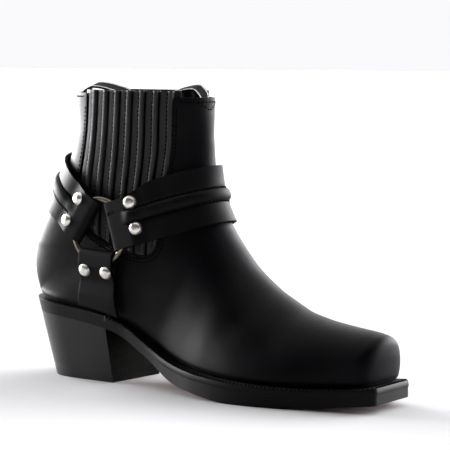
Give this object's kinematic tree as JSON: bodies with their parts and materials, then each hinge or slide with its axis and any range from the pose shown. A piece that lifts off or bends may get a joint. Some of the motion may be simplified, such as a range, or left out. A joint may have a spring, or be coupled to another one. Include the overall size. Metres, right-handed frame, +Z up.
{
  "type": "harness ankle boot",
  "caption": "Square-toed pull-on ankle boot with a stacked heel, pleated elastic side panels and a harness of ribbed leather straps riveted round side rings.",
  "frame": {"origin": "middle of the bounding box on the floor that the boot stands on", "axes": "+X from heel to toe, +Y to the inner side of the foot, +Z up"},
  "size_m": [0.3112, 0.0966, 0.217],
  "materials": {
    "leather": "smooth black boot leather, half matt with soft highlights",
    "strap": "smooth black strap leather, half matt",
    "edge": "black inked sole and heel edge, satin",
    "rubber": "black heel tread, matt",
    "lining": "dull brown lining and insole leather",
    "webbing": "woven black webbing with pale edges",
    "nickel": "bright nickel plate, slightly worn"
  },
  "bodies": {
    "root": {"outsole": "edge", "welt": "edge", "heel_block": "edge", "heel_lift": "rubber", "insole": "lining", "upper": "leather", "gusset_outer": "leather", "gusset_inner": "leather", "strap_front": "strap", "strap_back": "strap", "strap_lower_outer": "strap", "strap_lower_inner": "strap", "ring_outer": "nickel", "ring_inner": "nickel", "rivet_front_outer_1": "nickel", "rivet_front_outer_2": "nickel", "rivet_back_outer_1": "nickel", "rivet_back_outer_2": "nickel", "rivet_lower_outer_1": "nickel", "rivet_lower_outer_2": "nickel", "rivet_front_inner_1": "nickel", "rivet_front_inner_2": "nickel", "rivet_back_inner_1": "nickel", "rivet_back_inner_2": "nickel", "rivet_lower_inner_1": "nickel", "rivet_lower_inner_2": "nickel", "pull_loop_back": "webbing", "pull_loop_front": "webbing"}
  },
  "joints": []
}
